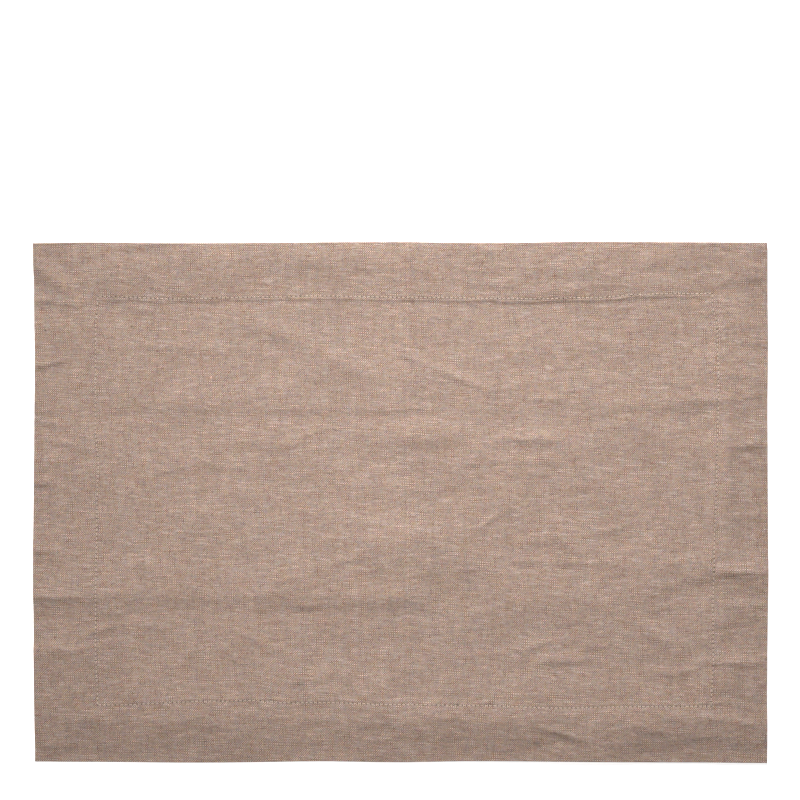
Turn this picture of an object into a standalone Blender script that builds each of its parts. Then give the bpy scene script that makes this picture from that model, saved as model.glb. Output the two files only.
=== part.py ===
"""Fabric placemat: one linen cloth with a wide stitched hem, lying flat with its face up.

Metres, +Z up. The origin is on the surface that the mat lies on, under the middle of the mat.
+X runs along the long side, and +Y runs away from the diner.

The cloth is a single closed sheet. In the hem its back is the turned-under layer, which lies on
the surface. Inside the stitching the single cloth starts on top of that layer, settles beside it
and stands a little off the surface where the old folds and blisters raise it.
"""

from collections import namedtuple
from math import exp, hypot, sqrt

import bmesh
import bpy

MM = 0.001

# Driving sizes of the cloth as it lies
LENGTH = 500 * MM
WIDTH = 354 * MM
CLOTH = 1.0 * MM  # the single cloth, as thin as a solid sheet is made here
TURNED_UNDER = 0.6 * MM  # what the pressed layers of the hem add to it
EDGE_ROUND = (CLOTH + TURNED_UNDER) / 2  # the folded outer edge is a half circle

# Hem widths, from the outer edge to the stitching
HEM_LEFT = 43.0 * MM
HEM_RIGHT = 36.0 * MM
HEM_NEAR = 39.4 * MM
HEM_FAR = 37.3 * MM

STITCHING_LEFT = HEM_LEFT - LENGTH / 2
STITCHING_RIGHT = LENGTH / 2 - HEM_RIGHT
STITCHING_NEAR = HEM_NEAR - WIDTH / 2
STITCHING_FAR = WIDTH / 2 - HEM_FAR

STEP_WALL = 0.5 * MM  # run of the steep step behind the stitching, on the back
STEP_EASE = 6.0 * MM  # run over which the single cloth settles beside the hem

# How the cloth stands off the surface
FLAT_BORDER = 12 * MM  # outermost strip, whose back lies flat
BORDER_EASE = 24 * MM  # run over which the cloth inside that strip may start to lift
BILLOW = 0.5 * MM  # lift of the panel where no fold crosses it
FOLD_FADE = 30 * MM  # run over which a fold dies out at either end
FOLD_SOFTNESS = 0.5  # 1 is a round crest, and 0 a sharp one

# The mat was folded in thirds across its width, and in half along its length
FAR_THIRD = 58.5 * MM
NEAR_THIRD = -64.0 * MM
HALF = 5.0 * MM

# A fold runs from start to end. Its crest is height above the cloth round it, or below it for a
# trough, and its slopes reach away from the crest on its left and its right, seen from its start.
Fold = namedtuple("Fold", "start end height reach_left reach_right")
FOLDS = {
    "far_third_left": Fold((-280 * MM, FAR_THIRD), (35 * MM, FAR_THIRD), -0.45 * MM, 7 * MM, 22 * MM),
    "far_third_right": Fold((-25 * MM, FAR_THIRD), (280 * MM, FAR_THIRD), -0.25 * MM, 9 * MM, 20 * MM),
    "near_third_left": Fold((-280 * MM, NEAR_THIRD), (35 * MM, NEAR_THIRD), 1.1 * MM, 40 * MM, 14 * MM),
    "near_third_right": Fold((-25 * MM, NEAR_THIRD), (280 * MM, NEAR_THIRD), 0.4 * MM, 50 * MM, 40 * MM),
    "half_far": Fold((HALF, 205 * MM), (HALF, 50 * MM), 0.7 * MM, 6 * MM, 9 * MM),
    "half_near": Fold((HALF, -20 * MM), (HALF, -205 * MM), 0.7 * MM, 6 * MM, 9 * MM),
    "near_hem": Fold((-280 * MM, -149 * MM), (280 * MM, -149 * MM), 1.1 * MM, 90 * MM, 28 * MM),
    "far_hem": Fold((-280 * MM, 178 * MM), (280 * MM, 178 * MM), 1.9 * MM, 12 * MM, 42 * MM),
    "far_crease": Fold((-138 * MM, 139 * MM), (-8 * MM, 78 * MM), 0.5 * MM, 9 * MM, 12 * MM),
    "left_crease": Fold((-208 * MM, 105 * MM), (-172 * MM, 82 * MM), 0.4 * MM, 7 * MM, 7 * MM),
    "right_crease": Fold((135 * MM, -64 * MM), (198 * MM, -103 * MM), 0.5 * MM, 8 * MM, 10 * MM),
    "right_ridge": Fold((150 * MM, 59 * MM), (192 * MM, 36 * MM), 0.4 * MM, 8 * MM, 8 * MM),
    "left_hem_far": Fold((-268 * MM, 177 * MM), (-218 * MM, 135 * MM), 1.9 * MM, 14 * MM, 9 * MM),
    "left_hem_near": Fold((-280 * MM, -100 * MM), (-200 * MM, -101 * MM), 1.6 * MM, 9 * MM, 30 * MM),
}

# A blister is a soft round rise of the cloth, or a hollow, centred at x, y
Blister = namedtuple("Blister", "x y height half_length half_width")
BLISTERS = {
    "fold_crossing": Blister(17 * MM, 47 * MM, 1.4 * MM, 22 * MM, 11 * MM),
    "middle": Blister(5 * MM, -30 * MM, 1.9 * MM, 34 * MM, 20 * MM),
    "far_middle": Blister(14 * MM, 86 * MM, 0.5 * MM, 24 * MM, 9 * MM),
    "left": Blister(-150 * MM, 71 * MM, 0.6 * MM, 8 * MM, 7 * MM),
    "right": Blister(210 * MM, -45 * MM, 0.6 * MM, 18 * MM, 12 * MM),
    "far_hem": Blister(-30 * MM, 172 * MM, 0.4 * MM, 60 * MM, 15 * MM),
    "near_middle": Blister(4 * MM, -127 * MM, -0.6 * MM, 14 * MM, 10 * MM),
}

# How far each edge strays outwards, at shares of its run towards +X or +Y
Stray = namedtuple("Stray", "share outward")
LEFT_EDGE = (
    Stray(0.00, -0.8 * MM),
    Stray(0.19, -0.1 * MM),
    Stray(0.38, 0.5 * MM),
    Stray(0.61, -0.2 * MM),
    Stray(0.77, -0.7 * MM),
    Stray(0.90, -0.1 * MM),
    Stray(1.00, 0.4 * MM),
)
RIGHT_EDGE = (
    Stray(0.00, -0.2 * MM),
    Stray(0.15, -0.4 * MM),
    Stray(0.38, 0.5 * MM),
    Stray(0.69, -0.1 * MM),
    Stray(0.80, 0.3 * MM),
    Stray(1.00, -0.3 * MM),
)
NEAR_EDGE = (
    Stray(0.00, -0.3 * MM),
    Stray(0.23, 0.4 * MM),
    Stray(0.40, -0.5 * MM),
    Stray(0.49, 0.1 * MM),
    Stray(0.59, -0.5 * MM),
    Stray(0.90, 0.3 * MM),
    Stray(1.00, 0.7 * MM),
)
FAR_EDGE = (
    Stray(0.00, -0.5 * MM),
    Stray(0.07, 0.0 * MM),
    Stray(0.20, -0.5 * MM),
    Stray(0.49, 0.3 * MM),
    Stray(0.62, -0.3 * MM),
    Stray(0.76, 0.5 * MM),
    Stray(1.00, 0.0 * MM),
)

# The mesh
CELL = 10 * MM  # usual spacing of the grid lines
EDGE_LINE = 0.3 * EDGE_ROUND  # one more grid line on the rounding of the edge
FOLD_SHOULDER = 6 * MM  # extra grid lines on either side of a fold's crest
SMOOTH_BELOW = 0.5  # radians: sharper edges than this stay sharp when shaded

LINEN = (0.42, 0.31, 0.25, 1.0)
LINEN_ROUGHNESS = 0.9


def ease(share):
    """Goes smoothly from 0 to 1 as share does, and is level outside."""
    share = min(1.0, max(0.0, share))
    return share * share * (3.0 - 2.0 * share)


def stray_at(edge, share):
    """How far an edge strays outwards at this share of its run."""
    for before, after in zip(edge, edge[1:]):
        if share <= after.share:
            step = ease((share - before.share) / (after.share - before.share))
            return before.outward + (after.outward - before.outward) * step
    return edge[-1].outward


def strayed(x, y):
    """Moves a point of the plain rectangle with the edges, fully at an edge and less inside."""
    along_x = x / LENGTH + 0.5
    along_y = y / WIDTH + 0.5
    moved_x = stray_at(RIGHT_EDGE, along_y) * along_x - stray_at(LEFT_EDGE, along_y) * (1.0 - along_x)
    moved_y = stray_at(FAR_EDGE, along_x) * along_y - stray_at(NEAR_EDGE, along_x) * (1.0 - along_y)
    return x + moved_x, y + moved_y


def fold_rise(fold, x, y):
    """Height that a fold adds at a point."""
    run_x, run_y = fold.end[0] - fold.start[0], fold.end[1] - fold.start[1]
    run = hypot(run_x, run_y)
    from_x, from_y = x - fold.start[0], y - fold.start[1]
    along = (from_x * run_x + from_y * run_y) / run
    to_left = (from_y * run_x - from_x * run_y) / run
    reach = fold.reach_left if to_left > 0 else fold.reach_right
    near = max(0.0, 1.0 - abs(to_left) / reach)
    lasting = ease(along / FOLD_FADE) * ease((run - along) / FOLD_FADE)
    return fold.height * lasting * near * near * (1.0 + 2.0 * FOLD_SOFTNESS * (1.0 - near))


def blister_rise(blister, x, y):
    """Height that a blister adds at a point."""
    away_x = (x - blister.x) / blister.half_length
    away_y = (y - blister.y) / blister.half_width
    return blister.height * exp(-away_x * away_x - away_y * away_y)


def inside_edge(x, y):
    """How far inside the outer edge a point is."""
    return min(LENGTH / 2 - abs(x), WIDTH / 2 - abs(y))


def inside_stitching(x, y):
    """How far inside the stitching a point is: 0 on it, and less than 0 in the hem."""
    across = min(x - STITCHING_LEFT, STITCHING_RIGHT - x)
    return min(across, y - STITCHING_NEAR, STITCHING_FAR - y)


def stand_off(x, y):
    """How far the back of the hem, or of the settled single cloth, stands off the surface."""
    free = ease((inside_edge(x, y) - FLAT_BORDER) / BORDER_EASE)
    rise = BILLOW
    rise += sum(fold_rise(fold, x, y) for fold in FOLDS.values())
    rise += sum(blister_rise(blister, x, y) for blister in BLISTERS.values())
    return free * max(0.0, rise)


def edge_rounding(x, y):
    """How far the face comes down, and the back comes up, over the rounding of the edge."""
    short_of_flat = 1.0 - min(1.0, inside_edge(x, y) / EDGE_ROUND)
    return EDGE_ROUND * (1.0 - sqrt(1.0 - short_of_flat * short_of_flat))


def face_height(x, y):
    """Height of the upper side of the cloth."""
    settled = ease(inside_stitching(x, y) / STEP_EASE)
    return stand_off(x, y) + CLOTH + TURNED_UNDER * (1.0 - settled) - edge_rounding(x, y)


def back_height(x, y):
    """Height of the under side: of the turned-under layer in the hem, or else of the single cloth."""
    if inside_stitching(x, y) < STEP_WALL / 2:
        return stand_off(x, y) + edge_rounding(x, y)
    return face_height(x, y) - CLOTH


def divided(stops):
    """The stops, with each gap between them divided evenly into about one cell a step."""
    lines = [stops[0]]
    for low, high in zip(stops, stops[1:]):
        steps = max(1, round((high - low) / CELL))
        lines += [low + (high - low) * step / steps for step in range(1, steps + 1)]
    return lines


def grid_lines(low_edge, low_stitching, folds, high_stitching, high_edge):
    """Grid lines across the cloth, with their own for the edges, the stitching and the folds."""
    stops = [low_edge, low_edge + EDGE_LINE, low_edge + EDGE_ROUND]
    stops += [low_stitching, low_stitching + STEP_WALL, low_stitching + STEP_EASE]
    for fold in folds:
        stops += [fold - FOLD_SHOULDER, fold, fold + FOLD_SHOULDER]
    stops += [high_stitching - STEP_EASE, high_stitching - STEP_WALL, high_stitching]
    stops += [high_edge - EDGE_ROUND, high_edge - EDGE_LINE, high_edge]
    return divided(stops)


def sheet(bm):
    """The closed cloth: its face and its back, which share the vertices of the folded edge."""
    columns = grid_lines(-LENGTH / 2, STITCHING_LEFT, (HALF,), STITCHING_RIGHT, LENGTH / 2)
    rows = grid_lines(-WIDTH / 2, STITCHING_NEAR, (NEAR_THIRD, FAR_THIRD), STITCHING_FAR, WIDTH / 2)
    face = [[bm.verts.new((x, y, face_height(x, y))) for x in columns] for y in rows]
    back = [face[0]]
    for y, face_row in zip(rows[1:-1], face[1:-1]):
        inner = [bm.verts.new((x, y, back_height(x, y))) for x in columns[1:-1]]
        back.append([face_row[0], *inner, face_row[-1]])
    back.append(face[-1])
    for near_row, far_row in zip(face, face[1:]):
        for corners in zip(near_row, near_row[1:], far_row[1:], far_row):
            bm.faces.new(corners)
    for near_row, far_row in zip(back, back[1:]):
        for corners in zip(near_row, far_row, far_row[1:], near_row[1:]):
            bm.faces.new(corners)


def stray_and_centre(bm):
    """Gives the plain sheet its uneven edges, and puts the middle of its box over the origin."""
    for vertex in bm.verts:
        vertex.co.x, vertex.co.y = strayed(vertex.co.x, vertex.co.y)
    across = [vertex.co.x for vertex in bm.verts]
    along = [vertex.co.y for vertex in bm.verts]
    middle = (min(across) + max(across)) / 2, (min(along) + max(along)) / 2
    bmesh.ops.translate(bm, vec=(-middle[0], -middle[1], 0.0), verts=bm.verts)


def linen():
    """Taupe linen with a pinkish cast."""
    material = bpy.data.materials.new("linen")
    material.use_nodes = True
    shader = material.node_tree.nodes["Principled BSDF"]
    shader.inputs["Base Color"].default_value = LINEN
    shader.inputs["Roughness"].default_value = LINEN_ROUGHNESS
    shader.inputs["Metallic"].default_value = 0.0
    return material


def placemat_cloth():
    """The placemat, one object."""
    bm = bmesh.new()
    sheet(bm)
    stray_and_centre(bm)
    mesh = bpy.data.meshes.new("placemat_cloth")
    bm.to_mesh(mesh)
    bm.free()
    mesh.shade_smooth()
    mesh.set_sharp_from_angle(angle=SMOOTH_BELOW)
    mesh.materials.append(linen())
    cloth = bpy.data.objects.new("placemat_cloth", mesh)
    bpy.context.collection.objects.link(cloth)
    return cloth


def main():
    for old in list(bpy.data.objects):
        bpy.data.objects.remove(old, do_unlink=True)
    placemat_cloth()


main()
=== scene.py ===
"""Looks of a linen placemat that lies flat: the hemmed cloth, its stitching and a soft studio.

Metres, +Z up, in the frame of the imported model. +X runs along the mat's long side and +Y away
from the diner. The cloth is modelled the way it is sewn: one sheet whose borders are turned
under, with the raw edge turned in once more, mitred at the corners and stitched down.
"""

from collections import namedtuple
from math import radians

import bpy
import numpy as np
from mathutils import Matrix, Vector, noise

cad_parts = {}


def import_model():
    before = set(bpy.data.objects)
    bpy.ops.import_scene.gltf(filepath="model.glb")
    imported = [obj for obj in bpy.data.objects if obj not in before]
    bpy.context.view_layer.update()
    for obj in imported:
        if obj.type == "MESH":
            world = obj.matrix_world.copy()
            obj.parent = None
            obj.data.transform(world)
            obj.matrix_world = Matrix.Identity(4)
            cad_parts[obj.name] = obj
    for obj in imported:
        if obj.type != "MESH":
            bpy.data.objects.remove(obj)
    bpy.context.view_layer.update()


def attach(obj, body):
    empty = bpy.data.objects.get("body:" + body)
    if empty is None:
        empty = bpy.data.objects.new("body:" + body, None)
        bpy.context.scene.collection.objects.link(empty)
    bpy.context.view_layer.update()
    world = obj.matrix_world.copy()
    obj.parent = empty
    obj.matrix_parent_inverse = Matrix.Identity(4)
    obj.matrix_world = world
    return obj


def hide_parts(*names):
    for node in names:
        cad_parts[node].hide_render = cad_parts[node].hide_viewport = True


MM = 0.001

# ---------------------------------------------------------------- driving sizes

LENGTH = 500 * MM
WIDTH = 354 * MM
LINEN = 0.40 * MM  # one layer of the cloth
LAYER = 0.43 * MM  # one layer and the gap above it, where layers are pressed together

Sides = namedtuple("Sides", "near right far left")
HEM = Sides(near=39.4 * MM, right=36.0 * MM, far=37.3 * MM, left=43.0 * MM)  # to the stitching
BEYOND_STITCHING = 2.6 * MM  # the hem's inner fold lies this far inside the stitching
TURNED_IN = 10 * MM  # of the raw edge, between the hem's two other layers
EDGE_ROUND = (LINEN + LAYER) / 2  # radius of the fold along the outer edge and the inner one

STITCHING_LEFT = HEM.left - LENGTH / 2
STITCHING_RIGHT = LENGTH / 2 - HEM.right
STITCHING_NEAR = HEM.near - WIDTH / 2
STITCHING_FAR = WIDTH / 2 - HEM.far

STITCH = 3.0 * MM
HOLE_SHARE = 0.25  # of a stitch, between the ends of two threads at a needle hole
THREAD_WIDTH = 0.46 * MM
THREAD_HEIGHT = 0.28 * MM
THREAD_SIDES = 6
THREAD_STATIONS = 8  # along each stitch

WARP_PITCH = 0.744 * MM  # across the threads that run along Y
WEFT_PITCH = 0.779 * MM  # across the threads that run along X
WARP_LEAN, WEFT_LEAN = 0.02, 0.04  # both threads lean to the left, the weft's right end down

# ---------------------------------------------------------------- how the cloth lies

PANEL_LIFT = 0.05 * MM  # of the single cloth above the surface, away from all folds
NEAR_DROP, FAR_DROP = 0.20 * MM, 0.50 * MM  # of the single cloth, right beside the inner fold
QUICK_RUN = 2.5 * MM  # over which it drops by that
SLOW_RUN = 25 * MM  # over which it comes down the rest of the way
DROP_SWAY = 1.6 * MM  # by which the start of that drop strays to and fro along the hem
DROP_SWAY_RUN = 17 * MM  # from one such bend to the next
RAW_EASE = 28 * MM  # over which the face rises to pass over the turned-in raw edge
GROOVE = 0.12 * MM  # depth that the thread pulls into the cloth
GROOVE_REACH = 0.9 * MM  # of that groove, to either side of the thread

AT_EDGE = 0.85  # of the height of folds and wrinkles, right at the outer edge
EDGE_EASE = 6 * MM  # over which they come to their whole height
BORDER = 1.5 * MM  # outermost strip, which lies on the surface apart from them
BILLOW = 0.25 * MM  # of all the cloth inside the border
HEM_WRINKLES = 1.35  # height of the wrinkles in the hem, as a share of the panel's
BORDER_EASE = 14 * MM  # over which the billow and the hem's higher wrinkles set in
SOFT_BEND = 0.12 * MM  # how softly a trough bottoms out on the surface
FOLD_FADE = 30 * MM  # over which a fold dies out at either end
CREASE_FADE = 0.4  # of a crease's run, over which it dies out at either end
FOLD_SOFTNESS, CREASE_SOFTNESS = 0.5, 0.2  # 1 is a round crest, and 0 a sharp one

# Where the mat was folded in thirds, along Y, and in half, along X, in millimetres
FAR_THIRD, NEAR_THIRD = 58.5, -64.0
HALF = 5.0

# Folds and creases, in millimetres. Each runs from one point to another, bowed to its left. Its
# crest is height above the cloth round it, or below it for a trough, and its slopes reach away
# on its left and on its right. These are the main folds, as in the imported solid.
Crease = namedtuple("Crease", "from_x from_y to_x to_y height reach_left reach_right bow")
FOLDS = {
    "far_third_left": Crease(-280, FAR_THIRD, 35, FAR_THIRD, -0.45, 7, 22, 0),
    "far_third_right": Crease(-25, FAR_THIRD, 280, FAR_THIRD, -0.25, 9, 20, 0),
    "near_third_left": Crease(-280, NEAR_THIRD, 35, NEAR_THIRD, 1.1, 40, 14, 0),
    "near_third_right": Crease(-25, NEAR_THIRD, 280, NEAR_THIRD, 0.4, 50, 40, 0),
    "half_far": Crease(HALF, 205, HALF, 50, 0.7, 6, 9, 0),
    "half_near": Crease(HALF, -20, HALF, -205, 0.7, 6, 9, 0),
    "near_hem": Crease(-280, -149, 280, -149, 1.1, 90, 28, 0),
    "far_hem": Crease(-280, 178, 280, 178, 1.9, 12, 42, 0),
    "far_crease": Crease(-138, 139, -8, 78, 0.5, 9, 12, 3),
    "left_crease": Crease(-208, 105, -172, 82, 0.4, 7, 7, 0),
    "right_crease": Crease(135, -64, 198, -103, 0.5, 8, 10, 0),
    "right_ridge": Crease(150, 59, 192, 36, 0.4, 8, 8, 0),
    "left_hem_far": Crease(-268, 177, -218, 135, 1.9, 14, 9, 0),
    "left_hem_near": Crease(-280, -100, -200, -101, 1.6, 9, 30, 0),
}

# Smaller creases, in the same way, region by region
CREASES = {
    "far hem": (
        Crease(-208, 173, -145, 178, 0.65, 8, 5, 0),
        Crease(-161, 157, -138, 136, 0.5, 6, 5, 0),
        Crease(42, 179, 72, 168, 0.65, 5, 5, 0),
        Crease(95, 171, 111, 170, 0.25, 4, 4, 0),
        Crease(178, 176, 248, 174, 0.25, 3, 3, 0),
        Crease(212, 142, 238, 162, 0.4, 4, 5, 0),
        Crease(228, 153, 255, 149, 0.65, 14, 9, 0),
    ),
    "left hem": (
        Crease(-258, 138, -206, 134, 0.65, 10, 4, 0),
        Crease(-256, 122, -232, 116, 0.5, 7, 4, 0),
        Crease(-260, 90, -222, 97, 1.05, 10, 4, 0),
        Crease(-260, 58, -224, 51, 0.85, 8, 4, 0),
        Crease(-246, 44, -210, 35, 0.5, 7, 4, 0),
        Crease(-262, 14, -232, 12, 1.05, 8, 4, 0),
        Crease(-241, 9, -232, -12, 0.5, 4, 4, 0),
        Crease(-262, -32, -226, -34, 1.15, 10, 10, 0),
        Crease(-264, -64, -204, -65, 1.05, 12, 6, 0),
        Crease(-226, -94, -186, -81, 0.65, 4, 4, 0),
        Crease(-222, -97, -170, -101, 0.3, 6, 3, 0),
        Crease(-226, -140, -196, -150, 1.05, 8, 14, 0),
        Crease(-254, -164, -216, -167, 0.85, 7, 5, 0),
    ),
    "right hem": (
        Crease(210, 86, 234, 85, 0.4, 7, 5, 0),
        Crease(226, 108, 260, 105, 0.5, 10, 6, 0),
        Crease(214, 38, 256, 37, 0.5, 9, 5, 0),
        Crease(228, -10, 260, -11, 0.5, 8, 5, 0),
        Crease(206, -46, 262, -49, 0.8, 10, 6, 0),
        Crease(214, -69, 256, -69, 0.65, 6, 16, 0),
        Crease(160, -114, 204, -116, 0.8, 12, 9, 0),
        Crease(192, -108, 262, -108, 0.65, 9, 5, 0),
        Crease(222, 110, 222, -70, 0.8, 12, 9, 0),
    ),
    "near hem": (
        Crease(-142, -149, -108, -158, 0.5, 6, 4, 0),
        Crease(-157, -159, -130, -160, 0.5, 5, 9, 0),
        Crease(20, -146, 47, -148, 0.4, 5, 6, 0),
        Crease(88, -149, 134, -164, 0.8, 7, 5, 0),
        Crease(-110, -139, -92, -152, 0.4, 4, 4, 0),
        Crease(-70, -160, -44, -166, 0.4, 5, 4, 0),
        Crease(150, -150, 196, -158, 0.5, 8, 8, 0),
        Crease(-70, -137, 330, -137, -0.4, 42, 10, 0),
    ),
    "far left of the panel": (
        Crease(-192, 134, -166, 130, 0.4, 4, 3, 0),
        Crease(-184, 108, -136, 106, 0.4, 5, 3, 0),
        Crease(-158, 100, -184, 70, 0.5, 5, 3, 0),
        Crease(-140, 33, -120, 19, 0.65, 6, 4, 0),
        Crease(-126, 27, -99, 21, 0.65, 6, 4, 0),
        Crease(-86, 36, -61, 43, 0.5, 5, 4, 0),
        Crease(-166, 21, -131, 26, 0.4, 5, 4, 0),
        Crease(-140, 139, -118, 142, 0.4, 4, 4, 0),
        Crease(-200, 56, -150, 51, 0.4, 8, 5, 0),
    ),
    "far right of the panel": (
        Crease(-12, 108, 20, 92, 0.65, 7, 7, 0),
        Crease(14, 96, 64, 74, 0.65, 6, 5, 0),
        Crease(78, 71, 120, 70, 0.4, 6, 4, 0),
        Crease(60, 44, 118, 42, 0.65, 8, 5, 0),
        Crease(50, 30, 116, 27, 0.45, 3, 6, 0),
        Crease(122, 121, 146, 119, 0.25, 3, 3, 0),
        Crease(176, 69, 236, 68, 0.5, 8, 5, 0),
        Crease(176, 135, 190, 104, 0.4, 5, 5, 0),
    ),
    "near left of the panel": (
        Crease(-90, -54, -56, -50, 0.5, 3, 4, 0),
        Crease(-84, -71, -44, -70, 0.65, 9, 7, 0),
        Crease(-210, -73, -186, -77, 0.65, 6, 4, 0),
        Crease(-188, -76, -150, -92, 0.3, 5, 4, 0),
        Crease(-160, -125, -132, -91, 0.5, 5, 5, 0),
        Crease(-132, -91, -96, -124, 0.5, 6, 5, 0),
        Crease(-119, -82, -77, -109, 0.4, 5, 5, 0),
        Crease(-87, -126, -46, -120, 0.5, 7, 4, 0),
        Crease(-66, -48, -14, -34, 0.4, 5, 4, 0),
        Crease(-185, -36, -156, -50, 0.4, 5, 5, 0),
        Crease(-154, -21, -141, -25, 0.4, 4, 4, 0),
    ),
    "near right of the panel": (
        Crease(49, -21, 69, -6, 0.8, 4, 3, 0),
        Crease(120, -24, 169, -12, 0.4, 5, 5, 0),
        Crease(58, -39, 170, -41, 0.4, 4, 5, 0),
        Crease(166, -26, 182, -30, 0.4, 4, 4, 0),
        Crease(171, -73, 190, -71, 0.4, 6, 4, 0),
        Crease(193, -98, 184, -109, 0.4, 4, 4, 0),
        Crease(60, -104, 124, -88, 0.5, 6, 6, 0),
        Crease(86, -107, 142, -105, 0.65, 8, 6, 0),
        Crease(36, -76, 76, -73, 0.4, 8, 8, 0),
        Crease(-4, -78, -10, -150, 0.4, 10, 10, 0),
    ),
}

# Soft round rises and hollows of the cloth, in millimetres
Blister = namedtuple("Blister", "x y height half_length half_width")
BLISTERS = {
    "fold_crossing": Blister(17, 47, 1.4, 22, 11),
    "middle": Blister(5, -30, 1.9, 34, 20),
    "far_middle": Blister(14, 86, 0.5, 24, 9),
    "left": Blister(-150, 71, 0.6, 8, 7),
    "right": Blister(210, -45, 0.6, 18, 12),
    "far_hem": Blister(-30, 172, 0.4, 60, 15),
    "near_middle": Blister(4, -127, -0.6, 14, 10),
    "pucker": Blister(213, -56, -0.4, 5, 4),
}

# How far each edge and each line of stitches strays outwards, in millimetres, at shares of its
# run towards +X or +Y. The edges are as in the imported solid.
Stray = namedtuple("Stray", "share outward")
LEFT_EDGE = (
    Stray(0.00, -0.8),
    Stray(0.19, -0.1),
    Stray(0.38, 0.5),
    Stray(0.61, -0.2),
    Stray(0.77, -0.7),
    Stray(0.90, -0.1),
    Stray(1.00, 0.4),
)
RIGHT_EDGE = (
    Stray(0.00, -0.2),
    Stray(0.15, -0.4),
    Stray(0.38, 0.5),
    Stray(0.69, -0.1),
    Stray(0.80, 0.3),
    Stray(1.00, -0.3),
)
NEAR_EDGE = (
    Stray(0.00, -0.3),
    Stray(0.23, 0.4),
    Stray(0.40, -0.5),
    Stray(0.49, 0.1),
    Stray(0.59, -0.5),
    Stray(0.90, 0.3),
    Stray(1.00, 0.7),
)
FAR_EDGE = (
    Stray(0.00, -0.5),
    Stray(0.07, 0.0),
    Stray(0.20, -0.5),
    Stray(0.49, 0.3),
    Stray(0.62, -0.3),
    Stray(0.76, 0.5),
    Stray(1.00, 0.0),
)
LEFT_STITCHES = (
    Stray(0.12, -0.8),
    Stray(0.22, 0.7),
    Stray(0.34, 0.5),
    Stray(0.50, -0.2),
    Stray(0.57, -1.0),
    Stray(0.65, 1.0),
    Stray(0.83, 0.7),
    Stray(0.90, -1.0),
)
RIGHT_STITCHES = (
    Stray(0.11, -2.7),
    Stray(0.20, -1.2),
    Stray(0.30, -1.4),
    Stray(0.40, -0.5),
    Stray(0.55, 1.2),
    Stray(0.73, 2.6),
    Stray(0.83, 1.6),
    Stray(0.88, -1.8),
)
NEAR_STITCHES = (
    Stray(0.10, 0.3),
    Stray(0.25, -2.4),
    Stray(0.30, -2.7),
    Stray(0.35, -1.0),
    Stray(0.39, -1.4),
    Stray(0.50, 0.0),
    Stray(0.60, 0.7),
    Stray(0.73, 2.4),
    Stray(0.80, 1.6),
    Stray(0.91, 1.2),
)
FAR_STITCHES = (
    Stray(0.10, 0.3),
    Stray(0.19, -1.2),
    Stray(0.33, 0.1),
    Stray(0.38, 0.8),
    Stray(0.53, -0.3),
    Stray(0.68, -1.3),
    Stray(0.77, -0.2),
    Stray(0.83, 1.9),
    Stray(0.90, 2.4),
)

# Small wrinkles all over, with bumps of these lengths along X and Y. A sharp ripple has creases.
Ripple = namedtuple("Ripple", "length_x length_y height sharp seed")
RIPPLES = (
    Ripple(46 * MM, 26 * MM, 0.56 * MM, False, 3.7),
    Ripple(24 * MM, 13 * MM, 0.22 * MM, True, 11.3),
    Ripple(14 * MM, 8 * MM, 0.10 * MM, True, 23.9),
    Ripple(8 * MM, 5 * MM, 0.05 * MM, True, 31.1),
)
RIPPLE_SWAY = 5 * MM  # by which they stray to and fro
RIPPLE_SWAY_RUN = 30 * MM  # from one such bend to the next
SWAY_X_SEED, SWAY_Y_SEED, DROP_SEED = 51.3, 67.9, 83.1

# ---------------------------------------------------------------- the meshes

COARSE_X, COARSE_Y = 6.4 * MM, 4.3 * MM  # cells of the back
FINER = 3  # the face has this many cells along each side of one of them
SEAM_CELL = 0.9 * MM  # half a coarse cell across the stitching
EDGE_CELL = 1.2 * MM  # the outermost coarse cell of the face


def ease(share):
    """Goes smoothly from 0 to 1 as share does, and is level outside."""
    share = np.clip(share, 0.0, 1.0)
    return share * share * (3.0 - 2.0 * share)


def stray_at(line, share):
    """How far a line strays outwards at these shares of its run, in metres."""
    outward = np.full_like(share, line[0].outward)
    for before, after in zip(line, line[1:]):
        step = ease((share - before.share) / (after.share - before.share))
        outward += (after.outward - before.outward) * step
    return outward * MM


def moved_between(place, lines, moves):
    """The move of each place, where each of these lines across the cloth moves by its own."""
    share = np.interp(place, lines, np.arange(len(lines)))
    return sum(move * np.clip(1.0 - np.abs(share - index), 0.0, 1.0) for index, move in enumerate(moves))


def strayed(x, y):
    """Moves points of the plain rectangle with the uneven edges and stitching near them."""
    along_x, along_y = x / LENGTH + 0.5, y / WIDTH + 0.5
    lines_x = (-LENGTH / 2, STITCHING_LEFT, 0.0, STITCHING_RIGHT, LENGTH / 2)
    moves_x = (
        -stray_at(LEFT_EDGE, along_y),
        -stray_at(LEFT_STITCHES, along_y),
        0.0,
        stray_at(RIGHT_STITCHES, along_y),
        stray_at(RIGHT_EDGE, along_y),
    )
    lines_y = (-WIDTH / 2, STITCHING_NEAR, 0.0, STITCHING_FAR, WIDTH / 2)
    moves_y = (
        -stray_at(NEAR_EDGE, along_x),
        -stray_at(NEAR_STITCHES, along_x),
        0.0,
        stray_at(FAR_STITCHES, along_x),
        stray_at(FAR_EDGE, along_x),
    )
    return x + moved_between(x, lines_x, moves_x), y + moved_between(y, lines_y, moves_y)


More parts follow.
